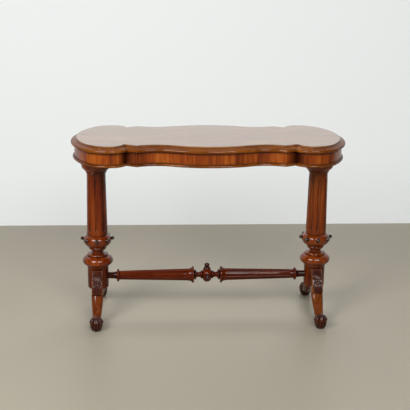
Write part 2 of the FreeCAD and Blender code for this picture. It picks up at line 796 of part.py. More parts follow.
def capsule(body, label, start, end, radius, plane):
    """Round-ended flute cut along the line between two points, given as along-axis and radius."""
    low = (f"({start[0]}) - {radius}", start[1])
    high = (f"({end[0]}) + {radius}", end[1])
    points = [low, (start[0], f"({start[1]}) - {radius}"), (end[0], f"({end[1]}) - {radius}"), high]
    turn = 1
    if plane == "XZ_Plane":
        points = [(across, along) for along, across in points]
        low, high = (low[1], low[0]), (high[1], high[0])
        turn = -1
    sketch = draw(body, label + "_outline", plane, points, {0: (radius, turn), 2: (radius, turn)})
    add_axis(sketch, low, high)
    return revolve(body, label, sketch, None, cut=True)


def button_outline(seat):
    """Half outline of a turned button along its axis, with its peg below the seat."""
    return [(f"{seat} - button_peg_length", "0"), (f"{seat} - button_peg_length", "button_peg_radius"),
            (seat, "button_peg_radius"), (seat, "button_stem_radius"),
            (f"{seat} + button_stem", "button_stem_radius"),
            (f"{seat} + button_rim_reach", "button_rim_radius"),
            (f"{seat} + button_dome_reach", "button_dome_radius"), (f"{seat} + button_reach", "0")]


def lifted(points, level):
    """Half outline moved up to a level."""
    return [(x, level if y == "0" else f"{level} + {y}") for x, y in points]


# Columns, left and right
for side, sign, turn in (("left", "-", 0), ("right", "", 180)):
    spot = f"{sign}column_offset"
    body = stacked(f"capital_{side}", "capital_height", [
        ("capital_neck_radius", "0"), ("capital_neck_radius", "capital_bead_height"),
        ("capital_torus_root", "capital_cove_level"), ("capital_torus_root", "capital_torus_level"),
        ("capital_fillet_radius", "capital_torus_level"), ("capital_fillet_radius", "capital_plate_level"),
        ("capital_plate_radius", "capital_plate_level"), ("capital_plate_radius", "capital_height"),
    ], {0: ("capital_bead_bulge", 1), 1: ("capital_cove_sag", -1), 2: ("capital_torus_bulge", 1)})
    place(body, spot, up="capital_foot")

    body = stacked(f"shaft_{side}", "shaft_height", [
        ("shaft_foot_radius", "0"), ("shaft_head_radius", "shaft_height")], {})
    low, high = "flute_foot_margin", "shaft_height - flute_head_margin"
    lift = "flute_radius - flute_depth"
    flute = capsule(body, f"shaft_{side}_flute",
                    (low, f"shaft_foot_radius - shaft_slope * ({low}) + {lift}"),
                    (high, f"shaft_foot_radius - shaft_slope * ({high}) + {lift}"),
                    "flute_radius", "XZ_Plane")
    ring(body, f"shaft_{side}_flutes", [flute], "flute_count")
    place(body, spot, up="shaft_foot")

    body = stacked(f"cup_{side}", "cup_height", [
        ("cup_ring_radius", "0"), ("cup_ring_radius", "cup_ring_height"),
        ("cup_bowl_foot_radius", "cup_ring_height"), ("cup_bowl_radius", "cup_bowl_level"),
        ("shaft_foot_radius", "cup_height"),
    ], {0: ("cup_ring_bulge", 1), 2: ("bowl_bulge", 1), 3: ("shoulder_bulge", 1)})
    seat = "cup_bowl_radius - button_peg_length - end_gap"
    clear = "cup_bowl_radius + button_stem"
    bore = "cup_bowl_level + button_peg_radius + fit_gap"
    sketch = draw(body, f"cup_{side}_bore", "XZ_Plane",
                  [(seat, "cup_bowl_level"), (clear, "cup_bowl_level"), (clear, bore), (seat, bore)])
    add_axis(sketch, (seat, "cup_bowl_level"), (clear, "cup_bowl_level"))
    hole = revolve(body, f"cup_{side}_hole", sketch, None, cut=True)
    ring(body, f"cup_{side}_holes", [hole], "button_count")
    place(body, spot, up="cup_foot")

    body = new_body(f"cup_buttons_{side}")
    points = lifted(button_outline("cup_bowl_radius"), "cup_bowl_level")
    sketch = draw(body, f"cup_buttons_{side}_outline", "XZ_Plane", points, {6: ("button_dome", -1)})
    add_axis(sketch, points[0], points[-1])
    knob = revolve(body, f"cup_buttons_{side}_turning", sketch, None)
    ring(body, f"cup_buttons_{side}_ring", [knob], "button_count")
    place(body, spot, up="cup_foot")
    nodes.append(body)

    body = stacked(f"bulb_{side}", "bulb_height", [
        ("bulb_lip_radius", "0"), ("bulb_lip_radius", "bulb_lip_height"),
        ("bulb_root_radius", "bulb_lip_height"), ("bulb_radius", "bulb_widest_level"),
        ("collar_foot_radius", "bulb_top_level"), ("collar_head_radius", "bulb_collar_level"),
        ("neck_bead_radius", "bulb_collar_level"),
        ("neck_bead_radius", "bulb_collar_level + neck_bead_height"),
        ("neck_head_radius", "bulb_height"),
    ], {2: ("bulb_lower_bulge", 1), 3: ("bulb_upper_bulge", 1), 4: ("collar_bulge", 1),
        6: ("neck_bead_bulge", 1), 7: ("neck_sag", -1)})
    place(body, spot, up="bulb_foot")

    # Drum: rounded foot, seats for two legs, sockets for their dowels and for the stretcher
    body = stacked(f"drum_{side}", "drum_height", [
        ("drum_radius - drum_edge", "0"), ("drum_radius", "drum_edge"), ("drum_radius", "drum_height"),
    ], {0: ("drum_edge * (1 - sqrt(2) / 2)", 1)}, socket=False)
    cuts = []
    sketch = draw(body, f"drum_{side}_seat_outline", "YZ_Plane",
                  [("-leg_flat", "leg_heel"), ("-leg_flat", "leg_head"),
                   ("-2 * drum_radius", "leg_head"), ("-2 * drum_radius", "leg_heel")])
    cuts.append(pocket_all(body, f"drum_{side}_seat", sketch))
    for name, level in (("upper", "dowel_upper"), ("lower", "dowel_lower")):
        deep = "dowel_bite + end_gap - leg_flat"
        wide = f"{level} + dowel_radius + fit_gap"
        sketch = draw(body, f"drum_{side}_{name}_bore", "YZ_Plane",
                      [("-leg_flat", level), (deep, level), (deep, wide), ("-leg_flat", wide)])
        add_axis(sketch, ("-leg_flat", level), (deep, level))
        cuts.append(revolve(body, f"drum_{side}_{name}_hole", sketch, None, cut=True))
    mirror(body, f"drum_{side}_both", cuts, "XZ_Plane")
    deep = "arm_seat - tenon_length - end_gap"
    bore = "stretcher_level + tenon_radius + fit_gap"
    wide = "stretcher_level + arm_neck_radius + fit_gap"
    sketch = draw(body, f"drum_{side}_socket_outline", "XZ_Plane", [
        (deep, "stretcher_level"), ("2 * drum_radius", "stretcher_level"), ("2 * drum_radius", wide),
        ("arm_seat", wide), ("arm_seat", bore), (deep, bore)])
    add_axis(sketch, (deep, "stretcher_level"), ("2 * drum_radius", "stretcher_level"))
    revolve(body, f"drum_{side}_socket", sketch, None, cut=True)
    place(body, spot, up="drum_lift", turn=turn)

# Stretcher: two arms, a boss between them, its finial and its two buttons
for side, turn in (("right", 0), ("left", 180)):
    body = new_body(f"stretcher_arm_{side}")
    depth = "boss_half_length + spigot_length + end_gap"
    bore = "boss_spigot_radius + fit_gap"
    small_end = "boss_half_length + hub_small_width"
    ring_start = "boss_half_length + hub_small_width + hub_gap"
    turned(body, f"stretcher_arm_{side}_turning", [
        (depth, "0"), (depth, bore), ("boss_half_length", bore), ("boss_half_length", "hub_small_radius"),
        (small_end, "hub_small_radius"), (small_end, "hub_gap_radius"), (ring_start, "hub_gap_radius"),
        (ring_start, "hub_ring_radius"), ("arm_start", "hub_ring_radius"),
        ("arm_start", "arm_large_radius"), ("arm_end", "arm_small_radius"),
        ("arm_end", "arm_collar_radius"), ("arm_collar_x", "arm_collar_radius"),
        ("arm_collar_x", "arm_neck_flare"), ("arm_seat_x", "arm_neck_radius"),
        ("arm_seat_x", "tenon_radius"), ("arm_seat_x + tenon_length", "tenon_radius"),
        ("arm_seat_x + tenon_length", "0"),
    ], {3: ("hub_small_bulge", -1), 7: ("hub_ring_bulge", -1), 11: ("arm_collar_bulge", -1),
        13: ("arm_neck_sag", 1)}, "XY_Plane", "X_Axis")
    low, high = "arm_start + arm_flute_margin", "arm_end - arm_flute_margin"
    lift = "arm_flute_radius - arm_flute_depth"
    flute = capsule(body, f"stretcher_arm_{side}_flute",
                    (low, f"arm_large_radius - arm_slope * ({low} - arm_start) + {lift}"),
                    (high, f"arm_large_radius - arm_slope * ({high} - arm_start) + {lift}"),
                    "arm_flute_radius", "XY_Plane")
    ring(body, f"stretcher_arm_{side}_flutes", [flute], "flute_count", "X_Axis")
    place(body, up="stretcher_height", turn=turn)
    nodes.append(body)

body = new_body("stretcher_boss")
half = [("boss_ball_edge", "boss_ball_root"), ("boss_ball_edge", "boss_bead_radius"),
        ("boss_ball_edge + boss_bead_width", "boss_bead_radius"), ("boss_half_length", "boss_head_radius"),
        ("boss_half_length", "boss_spigot_radius"),
        ("boss_half_length + spigot_length", "boss_spigot_radius"),
        ("boss_half_length + spigot_length", "0")]
turned(body, "stretcher_boss_turning", [(negated(x), r) for x, r in half[::-1]] + half, {
    3: ("boss_neck_sag", 1), 4: ("boss_bead_bulge", -1), 6: ("boss_ball_bulge", -1),
    8: ("boss_bead_bulge", -1), 9: ("boss_neck_sag", 1)}, "XY_Plane", "X_Axis")
cuts = []
seat = "boss_seat - button_peg_length - end_gap"
bore, wide = "button_peg_radius + fit_gap", "button_rim_radius + fit_gap"
cuts.append(turned(body, "stretcher_boss_button_seat", [
    ("0", seat), (bore, seat), (bore, "boss_seat"), (wide, "boss_seat"),
    (wide, "2 * boss_seat"), ("0", "2 * boss_seat")], {}, "XY_Plane", "Y_Axis", True))
mirror(body, "stretcher_boss_seats", cuts, "XZ_Plane")
deep = "boss_seat - finial_peg_length - end_gap"
bore, wide = "finial_peg_radius + fit_gap", "finial_base_radius + fit_gap"
turned(body, "stretcher_boss_finial_seat", [
    ("0", deep), (bore, deep), (bore, "boss_seat"), (wide, "boss_seat"),
    (wide, "2 * boss_seat"), ("0", "2 * boss_seat")], {}, "XZ_Plane", "Z_Axis", True)
place(body, up="stretcher_height")
nodes.append(body)

body = new_body("boss_finial")
knob = "boss_seat + finial_base_height + finial_bell_height"
points = [
    ("0", "boss_seat - finial_peg_length"), ("finial_peg_radius", "boss_seat - finial_peg_length"),
    ("finial_peg_radius", "boss_seat"), ("finial_base_radius", "boss_seat"),
    ("finial_base_radius", "boss_seat + finial_base_height"), ("finial_neck_radius", knob),
    ("finial_knob_radius", f"{knob} + finial_knob_level"), ("0", f"{knob} + finial_knob_height")]
sketch = draw(body, "boss_finial_outline", "XZ_Plane", points, {
    4: (arc_radius(points[4], points[5], "finial_bell_sag"), -1),
    5: (arc_radius(points[5], points[6], "finial_knob_bulge"), 1), 6: ("finial_dome", 1)})
revolve(body, "boss_finial_turning", sketch, "Z_Axis")
place(body, up="stretcher_height")
nodes.append(body)

body = new_body("boss_buttons")
points = [(r, reach) for reach, r in button_outline("boss_seat")]
sketch = draw(body, "boss_buttons_outline", "XY_Plane", points, {6: ("button_dome", 1)})
knob = revolve(body, "boss_buttons_turning", sketch, "Y_Axis")
mirror(body, "boss_buttons_both", [knob], "XZ_Plane")
place(body, up="stretcher_height")
nodes.append(body)

# Scroll legs: knee block against the drum, oval shank and grooved toe, drawn with the reach along X
stations = [
    ("start", "shank_start_reach", "shank_start_level"),
    ("upper", "shank_start_reach + shank_upper_share * shank_run",
     "shank_start_level - shank_upper_drop * shank_fall"),
    ("lower", "shank_start_reach + shank_lower_share * shank_run",
     "shank_start_level - shank_lower_drop * shank_fall"),
    ("ankle", "ankle_reach", "ankle_level"),
]


def oval(body, label, deep, wide):
    """Oval section of four arcs, deep along X and wide along Y."""
    x, y = f"oval_share * {deep} / 2", f"oval_share * {wide} / 2"
    points = [(x, f"-{y}"), (x, y), (f"-{x}", y), (f"-{x}", f"-{y}")]
    rises = (f"(1 - oval_share) * {deep} / 2", f"(1 - oval_share) * {wide} / 2")
    arcs = {}
    for side in range(4):
        arcs[side] = (arc_radius(points[side], points[(side + 1) % 4], rises[side % 2]), 1)
    return draw(body, label, "XY_Plane", points, arcs)


dowels = []
for name, sign, turn in (("front_left", "-", -90), ("back_left", "-", 90),
                         ("front_right", "", -90), ("back_right", "", 90)):
    body = new_body(f"leg_{name}")
    heel = "drum_lift + leg_heel"
    head = "drum_lift + leg_head"
    tip, brow = ("knee_reach", "drum_lift + knee_foot"), ("knee_head_reach", head)
    sketch = draw(body, f"leg_{name}_knee_outline", "XZ_Plane", [
        ("leg_flat", heel), ("drum_radius + end_gap", heel),
        ("knee_heel_reach", "drum_lift - knee_heel_drop"), tip, brow, ("leg_flat", head)],
        {3: (arc_radius(tip, brow, "knee_bulge"), 1)})
    knee = pad(body, f"leg_{name}_knee", sketch, "leg_width", symmetric=True)
    doc.recompute()
    bows = [f"Edge{index}" for index, edge in enumerate(knee.Shape.Edges, start=1)
            if isinstance(edge.Curve, Part.Circle)]
    rounding = body.newObject("PartDesign::Fillet", f"leg_{name}_rounding")
    rounding.Base = (knee, bows)
    rounding.setExpression("Radius", bound("knee_round"))
    sections = []
    for place_name, reach, level in stations:
        prefix = "ankle" if place_name == "ankle" else f"shank_{place_name}"
        section = oval(body, f"leg_{name}_{place_name}", f"{prefix}_depth", f"{prefix}_width")
        section.AttachmentOffset = Placement(Vector(), Rotation(Vector(0, -1, 0), 1))
        section.setExpression("AttachmentOffset.Base.x", bound(reach))
        section.setExpression("AttachmentOffset.Base.z", bound(level))
        section.setExpression("AttachmentOffset.Rotation.Angle", bound(f"{prefix}_tilt"))
        section.Visibility = False
        sections.append(section)
    shank = body.newObject("PartDesign::AdditiveLoft", f"leg_{name}_shank")
    shank.Profile = sections[0]
    shank.Sections = sections[1:]
    toe = body.newObject("PartDesign::AdditiveEllipsoid", f"leg_{name}_toe")
    toe.AttachmentSupport = [(origin(body, "XY_Plane"), "")]
    toe.MapMode = "FlatFace"
    toe.setExpression("AttachmentOffset.Base.x", bound("toe_reach"))
    toe.setExpression("AttachmentOffset.Base.z", bound("toe_level"))
    toe.setExpression("Radius1", bound("toe_half_height"))
    toe.setExpression("Radius2", bound("toe_half_depth"))
    toe.setExpression("Radius3", bound("toe_half_width"))
    for groove, across, deep in (("middle", "0", "toe_half_depth"), ("right", "toe_groove_spread",
                                 "toe_side_depth"), ("left", "-toe_groove_spread", "toe_side_depth")):
        out = f"toe_reach + {deep} + toe_groove_clear"
        half = "toe_groove_width / 2 * (1 + toe_groove_clear / toe_groove_depth)"
        sketch = draw(body, f"leg_{name}_{groove}_notch", "XY_Plane", [
            (f"toe_reach + {deep} - toe_groove_depth", across), (out, f"{across} - {half}"),
            (out, f"{across} + {half}")])
        add_axis(sketch, ("toe_reach", "-toe_half_width"), ("toe_reach", "toe_half_width"))
        sketch.setExpression("AttachmentOffset.Base.z", bound("toe_level"))
        cut = revolve(body, f"leg_{name}_{groove}_groove", sketch, None, cut=True)
        cut.Midplane = True
        cut.setExpression("Angle", bound("toe_groove_sweep"))
    floor = draw(body, f"leg_{name}_floor", "XZ_Plane", [
        ("leg_flat", "0"), ("leg_flat", "-2 * toe_half_height"),
        ("toe_reach + 2 * toe_half_depth", "-2 * toe_half_height"), ("toe_reach + 2 * toe_half_depth", "0")])
    pocket_all(body, f"leg_{name}_pad", floor)
    for spot, level in (("upper", "dowel_upper"), ("lower", "dowel_lower")):
        level = f"drum_lift + {level}"
        deep = "leg_flat + dowel_bite + end_gap"
        wide = f"{level} + dowel_radius + fit_gap"
        sketch = draw(body, f"leg_{name}_{spot}_bore", "XZ_Plane",
                      [("leg_flat", level), (deep, level), (deep, wide), ("leg_flat", wide)])
        add_axis(sketch, ("leg_flat", level), (deep, level))
        revolve(body, f"leg_{name}_{spot}_hole", sketch, None, cut=True)
        dowel = doc.addObject("Part::Cylinder", f"dowel_{name}_{spot}")
        dowel.Placement = Placement(Vector(), Rotation(Vector(1, 0, 0), -turn))
        dowel.setExpression("Radius", bound("dowel_radius"))
        dowel.setExpression("Height", bound("2 * dowel_bite"))
        dowel.setExpression("Placement.Base.x", bound(f"{sign}column_offset"))
        inset = "dowel_bite - leg_flat" if turn < 0 else "leg_flat - dowel_bite"
        dowel.setExpression("Placement.Base.y", bound(inset))
        dowel.setExpression("Placement.Base.z", bound(level))
        dowels.append(dowel)
    place(body, f"{sign}column_offset", turn=turn)
    nodes.append(body)
compound("leg_dowels", dowels)

# Write every piece once the tree is sound
doc.recompute()
os.makedirs("parts", exist_ok=True)
for item in doc.Objects:
    if "Invalid" in item.State or "Error" in item.State:
        raise RuntimeError(f"{item.Name} is not sound")
for node in nodes:
    if node.Shape.isNull() or not node.Shape.isValid():
        raise RuntimeError(f"{node.Label} has no sound shape")
    node.Shape.exportStep(f"parts/{node.Label}.step")
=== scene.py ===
import json
import math

import bmesh
import bpy
from mathutils import Matrix, Vector


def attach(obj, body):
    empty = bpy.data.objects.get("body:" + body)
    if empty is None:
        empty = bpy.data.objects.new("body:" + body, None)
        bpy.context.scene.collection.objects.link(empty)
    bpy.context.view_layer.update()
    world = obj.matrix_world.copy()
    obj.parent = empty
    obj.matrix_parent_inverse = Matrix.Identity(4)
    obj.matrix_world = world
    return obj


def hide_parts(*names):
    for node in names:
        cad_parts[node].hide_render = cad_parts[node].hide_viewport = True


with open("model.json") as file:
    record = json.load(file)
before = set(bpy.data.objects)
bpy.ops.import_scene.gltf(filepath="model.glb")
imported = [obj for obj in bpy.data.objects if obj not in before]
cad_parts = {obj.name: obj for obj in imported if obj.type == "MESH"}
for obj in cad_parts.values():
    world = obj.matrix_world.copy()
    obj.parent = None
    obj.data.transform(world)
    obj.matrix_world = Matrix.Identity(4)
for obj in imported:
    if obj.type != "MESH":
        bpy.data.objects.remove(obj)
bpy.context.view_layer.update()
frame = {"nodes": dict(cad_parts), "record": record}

bpy.ops.object.select_all(action="DESELECT")

MM = 0.001


def middle_of(label):
    """Middle of the box of a CAD node, to the micrometre."""
    corners = frame["nodes"][label].bound_box
    return [round(sum(corner[axis] for corner in corners) / len(corners), 6) for axis in range(3)]


# From the frame: the columns, to each side of the middle, and the level of the stretcher
COLUMN_X = middle_of("drum_right")[0]
STRETCHER_LEVEL = middle_of("stretcher_arm_right")[2]
# Knee of a scroll leg, in millimetres of reach from the column and height: the bow of its front face, and
# the middle of its panel in degrees up the bow, with the panel's length
KNEE_CENTRE = (-35.5, 81.8)
KNEE_RADIUS = 138.1
KNEE_MIDDLE = 33.7
KNEE_LENGTH = 99.0
# Toe of a scroll leg, in millimetres: its reach and height, and its half sizes outwards, across and up
TOE_CENTRE = (178.0, 24.5)
TOE_HALF = (28.0, 24.5, 29.5)
# Where the plain neck of a stretcher arm meets its collar, from the middle of the table
ARM_COLLAR_X = 356 * MM
# Notch between a lobe and the bowed front, sideways and outwards
FRIEZE_NOTCH = (317 * MM, 172 * MM)


# Finishes

def new_finish(name):
    """Empty node tree for a finish, with its output and main shader."""
    material = bpy.data.materials.new(name)
    material.use_nodes = True
    tree = material.node_tree
    tree.nodes.clear()
    output = tree.nodes.new("ShaderNodeOutputMaterial")
    shader = tree.nodes.new("ShaderNodeBsdfPrincipled")
    tree.links.new(shader.outputs["BSDF"], output.inputs["Surface"])
    return material, tree, shader


def node(tree, kind, **values):
    """New node with the given values in its sockets."""
    made = tree.nodes.new("ShaderNode" + kind)
    for name, value in values.items():
        made.inputs[name.replace("_", " ")].default_value = value
    return made


def noise(tree, place, scale, detail, roughness, distortion=0.0):
    """Noise drawn out by a three-way scale of the object's own coordinates."""
    stretch = node(tree, "Mapping", Scale=scale)
    tree.links.new(place.outputs["Object"], stretch.inputs["Vector"])
    made = node(tree, "TexNoise", Scale=1.0, Detail=detail, Roughness=roughness, Distortion=distortion)
    tree.links.new(stretch.outputs["Vector"], made.inputs["Vector"])
    return made.outputs[0]


def ramp(tree, source, stops):
    """Colour read off a strip of stops by a value."""
    made = tree.nodes.new("ShaderNodeValToRGB")
    strip = made.color_ramp
    for end, (position, colour) in zip(strip.elements, (stops[0], stops[-1])):
        end.position = position
        end.color = (*colour, 1)
    for position, colour in stops[1:-1]:
        strip.elements.new(position).color = (*colour, 1)
    tree.links.new(source, made.inputs["Fac"])
    return made.outputs["Color"]


def span(tree, source, taken, given):
    """Part of a value's range, from one end to the other, drawn out to another range."""
    made = node(tree, "MapRange", From_Min=taken[0], From_Max=taken[1], To_Min=given[0], To_Max=given[1])
    made.clamp = True
    tree.links.new(source, made.inputs["Value"])
    return made.outputs["Result"]


def combine(tree, kind, first, second):
    """Sum on two values, each a number or a socket."""
    made = tree.nodes.new("ShaderNodeMath")
    made.operation = kind
    for socket, value in zip(made.inputs, (first, second)):
        if isinstance(value, (int, float)):
            socket.default_value = value
        else:
            tree.links.new(value, socket)
    return made.outputs[0]


def blend(tree, kind, share, first, second):
    """Two colours mixed by a share that may be a number or a socket."""
    made = tree.nodes.new("ShaderNodeMix")
    made.data_type = "RGBA"
    made.blend_type = kind
    for socket, value in ((made.inputs[0], share), (made.inputs[6], first), (made.inputs[7], second)):
        if isinstance(value, (int, float)):
            socket.default_value = value
        elif isinstance(value, tuple):
            socket.default_value = (*value, 1)
        else:
            tree.links.new(value, socket)
    return made.outputs[2]


def hollows(tree, reach, inside=False):
    """How open a spot is to the air round it, or how thin the wood behind it is at a sharp edge."""
    made = node(tree, "AmbientOcclusion", Distance=reach)
    made.inside = inside
    made.only_local = inside
    made.samples = 8
    return made.outputs["AO"]


def drawn_out(grain, across, length):
    """Noise scale for marks so wide across the grain and so long along it, in millimetres."""
    return tuple(1000 / (length if axis == grain else across) for axis in "XYZ")


# Distances from the middle of a toe, whose wood is darker, and from a notch, which takes painted shade, at
# which the darkening starts to fade and is gone
TOE_FADE = (29 * MM, 35 * MM)
NOTCH_FADE = (5 * MM, 42 * MM)
# Half the width of the line where the darkening of an arm's neck ends
NECK_FADE = 1 * MM


def corner_mask(tree, place, spot, fade, counted=(1, 1, 1)):
    """One near a spot and its mirror images in the four corners of the table, nought further away.

    Only the directions that are counted add to the distance.
    """
    kept = tree.nodes.new("ShaderNodeVectorMath")
    kept.operation = "MULTIPLY"
    kept.inputs[1].default_value = counted
    folded = tree.nodes.new("ShaderNodeVectorMath")
    folded.operation = "ABSOLUTE"
    away = tree.nodes.new("ShaderNodeVectorMath")
    away.operation = "DISTANCE"
    away.inputs[1].default_value = spot
    tree.links.new(place.outputs["Object"], kept.inputs[0])
    tree.links.new(kept.outputs["Vector"], folded.inputs[0])
    tree.links.new(folded.outputs["Vector"], away.inputs[0])
    return span(tree, away.outputs["Value"], fade, (1.0, 0.0))


def toe_mask(tree, place):
    """One inside the four toes, nought away from them."""
    reach, level = TOE_CENTRE
    return corner_mask(tree, place, (COLUMN_X, reach * MM, level * MM), TOE_FADE)


def notch_shade_mask(tree, place):
    """One in the four notches of the frieze, where shade is painted, nought away from them, the same at all
    levels.
    """
    return corner_mask(tree, place, (*FRIEZE_NOTCH, 0), NOTCH_FADE, counted=(1, 1, 0))


def neck_mask(tree, place):
    """One on the plain necks of the stretcher arms beside the drums, nought between them."""
    parts = tree.nodes.new("ShaderNodeSeparateXYZ")
    tree.links.new(place.outputs["Object"], parts.inputs["Vector"])
    away = combine(tree, "ABSOLUTE", parts.outputs["X"], 0.0)
    return span(tree, away, (ARM_COLLAR_X - NECK_FADE, ARM_COLLAR_X + NECK_FADE), (0.0, 1.0))


# Marks in the walnut: their width across the grain and their length along it, in millimetres
FIGURE_MARKS = (24, 260)
CLOUD_MARKS = (95, 420)
STREAK_MARKS = (5, 150)
PORE_MARKS = (0.8, 9)
# How far from an edge the polish is rubbed and lightened, on the carving partly as a painted highlight, how
# deep the grain lies and how fully a darker tone or painted shade covers a masked part
RUBBED_SHEEN_REACH = 4 * MM
GRAIN_DEPTH = 0.6 * MM
STAIN_AND_SHADE_COVER = 0.88


def walnut(name, tones, grain, figured=(0.40, 0.34, 0.26), roughness=0.26, specular=0.05, coat=0.6,
           gloss=0.1, wear_and_sheen=0.3, shade_and_grime=0.6, quirk=0.012, air=(0.25, 0.9), stain_and_shade=None):
    """French-polished walnut: figure, cloud and streaks along the grain, pores, rubbed edges partly
    lightened as a painted highlight, and quirks darkened with soiling and painted shade.

    The tones are those of dark, middle and light wood, of a rubbed edge and of the soiling and painted shade
    in the quirks, and figured gives the shares of figure, cloud and streaks. Soiling and painted shade lie
    where
    walls stand within the reach of quirk: fully below the first openness of air, and not at all above the
    second.
    """
    dark, middle, light, rubbed_sheen_tone, shade_and_dirt_tone = tones
    material, tree, shader = new_finish(name)
    place = tree.nodes.new("ShaderNodeTexCoord")
    figure = noise(tree, place, drawn_out(grain, *FIGURE_MARKS), detail=5.0, roughness=0.55, distortion=1.6)
    cloud = noise(tree, place, drawn_out(grain, *CLOUD_MARKS), detail=2.0, roughness=0.5, distortion=0.8)
    streaks = noise(tree, place, drawn_out(grain, *STREAK_MARKS), detail=3.0, roughness=0.6, distortion=0.4)
    pores = noise(tree, place, drawn_out(grain, *PORE_MARKS), detail=2.0, roughness=0.6)
    figure_share, cloud_share, streak_share = figured
    mixed = combine(tree, "MULTIPLY", figure, figure_share)
    mixed = combine(tree, "ADD", mixed, combine(tree, "MULTIPLY", cloud, cloud_share))
    mixed = combine(tree, "ADD", mixed, combine(tree, "MULTIPLY", streaks, streak_share))
    colour = ramp(tree, mixed, [(0.38, dark), (0.5, middle), (0.63, light)])
    open_pores = span(tree, pores, (0.34, 0.46), (0.55, 1.0))
    shade = ramp(tree, open_pores, [(0.0, (0.0,) * 3), (1.0, (1.0,) * 3)])
    colour = blend(tree, "MULTIPLY", 0.8, colour, shade)
    # Edges lightened where the wood behind them is thin: worn polish, and where strongly set, as on the
    # carving, a painted highlight on the ridges
    rubbed = span(tree, hollows(tree, RUBBED_SHEEN_REACH, inside=True), (0.25, 0.75), (wear_and_sheen, 0.0))
    colour = blend(tree, "MIX", rubbed, colour, rubbed_sheen_tone)
    # Painted shade with some dirt: the colour darkened where walls shut the surface in, in quirks, coves,
    # flutes and gaps
    shade_and_dirt = span(tree, hollows(tree, quirk), air, (shade_and_grime, 0.0))
    colour = blend(tree, "MIX", shade_and_dirt, colour, shade_and_dirt_tone)
    # A masked part given another tone: darker wood on the toes, painted shade in the notches, darker necks
    # on the arms
    if stain_and_shade is not None:
        mask, stain_and_shade_tone = stain_and_shade
        cover = combine(tree, "MULTIPLY", mask(tree, place), STAIN_AND_SHADE_COVER)
        colour = blend(tree, "MIX", cover, colour, stain_and_shade_tone)
    tree.links.new(colour, shader.inputs["Base Color"])
    uneven = span(tree, cloud, (0.3, 0.7), (roughness - 0.05, roughness + 0.06))
    dull = combine(tree, "ADD", uneven, combine(tree, "MULTIPLY", shade_and_dirt, 0.25))
    tree.links.new(dull, shader.inputs["Roughness"])
    height = combine(tree, "MULTIPLY", open_pores, 0.6)
    height = combine(tree, "ADD", height, combine(tree, "MULTIPLY", figure, 0.4))
    bump = node(tree, "Bump", Strength=0.12, Distance=GRAIN_DEPTH)
    tree.links.new(height, bump.inputs["Height"])
    tree.links.new(bump.outputs["Normal"], shader.inputs["Normal"])
    shader.inputs["Specular IOR Level"].default_value = specular
    shader.inputs["Coat Weight"].default_value = coat
    shader.inputs["Coat Roughness"].default_value = gloss
    return material


# Lines and dust of the softwood, as noise scales, and how far from a corner it is darkened by dust and
# painted shade
LINE_SCALE = (9.0, 160.0, 160.0)
DUST_SCALE = (30.0, 30.0, 30.0)
CORNER_SHADE_REACH = 12 * MM


def raw_softwood(name):
    """Unpolished inner softwood: dark late-wood lines, dusty and rough."""
    material, tree, shader = new_finish(name)
    place = tree.nodes.new("ShaderNodeTexCoord")
    rings = noise(tree, place, LINE_SCALE, detail=4.0, roughness=0.55, distortion=0.8)
    dust = noise(tree, place, DUST_SCALE, detail=5.0, roughness=0.6)
    early = (0.50, 0.33, 0.17)
    middle = (0.40, 0.23, 0.10)
    late = (0.28, 0.14, 0.05)
    shade_and_dirt = (0.08, 0.05, 0.03)
    colour = ramp(tree, rings, [(0.35, early), (0.55, middle), (0.66, late)])
    dusty = ramp(tree, dust, [(0.3, (0.5,) * 3), (0.7, (1.0,) * 3)])
    colour = blend(tree, "MULTIPLY", 0.5, colour, dusty)
    # Corners darkened by dust and painted shade
    corners = span(tree, hollows(tree, CORNER_SHADE_REACH), (0.2, 0.8), (0.5, 0.0))
    colour = blend(tree, "MIX", corners, colour, shade_and_dirt)
    tree.links.new(colour, shader.inputs["Base Color"])
    tree.links.new(span(tree, dust, (0.3, 0.7), (0.6, 0.8)), shader.inputs["Roughness"])
    bump = node(tree, "Bump", Strength=0.3, Distance=GRAIN_DEPTH)
    tree.links.new(rings, bump.inputs["Height"])
    tree.links.new(bump.outputs["Normal"], shader.inputs["Normal"])
    return material


# Painted shade and dirt in the quirks of plain wood, and in those of the darkest pieces
SHADE_AND_GRIME = (0.008, 0.002, 0.001)
DEEP_SHADE_AND_GRIME = (0.003, 0.001, 0.001)

top_finish = walnut("polished_walnut_top", (
    (0.120, 0.044, 0.015), (0.250, 0.108, 0.042), (0.390, 0.185, 0.080), (0.42, 0.22, 0.11),
    (0.05, 0.02, 0.01)),
    "X", figured=(0.46, 0.30, 0.24), roughness=0.22, specular=0.25, coat=0.85, wear_and_sheen=0.2, shade_and_grime=0.3)

moulding_tones = (
    (0.090, 0.018, 0.001), (0.165, 0.041, 0.002), (0.260, 0.080, 0.006), (0.33, 0.13, 0.03), SHADE_AND_GRIME)
# The quirk and cove of the moulding take dark painted shade wherever they are a little shut in
moulding_polish = {
    "specular": 0.0, "coat": 0.58, "gloss": 0.03, "wear_and_sheen": 0.12, "shade_and_grime": 0.95, "air": (0.45, 1.0),
}
moulding_finish = walnut("walnut_moulding", moulding_tones, "X", **moulding_polish)
end_moulding_finish = walnut("walnut_end_moulding", moulding_tones, "Y", **moulding_polish)

# Painted shade: the notches of the frieze darkened nearly to black, and the frieze darkened far out below
# the moulding
notch_painted_shade = (notch_shade_mask, (0.020, 0.003, 0.001))
frieze_finish = walnut("figured_walnut_frieze", (
    (0.085, 0.012, 0.001), (0.235, 0.042, 0.003), (0.42, 0.112, 0.012), (0.43, 0.14, 0.03), SHADE_AND_GRIME),
    "Z", figured=(0.10, 0.58, 0.32), roughness=0.36, specular=0.08, coat=0.35, shade_and_grime=0.95, quirk=0.055,
    stain_and_shade=notch_painted_shade)

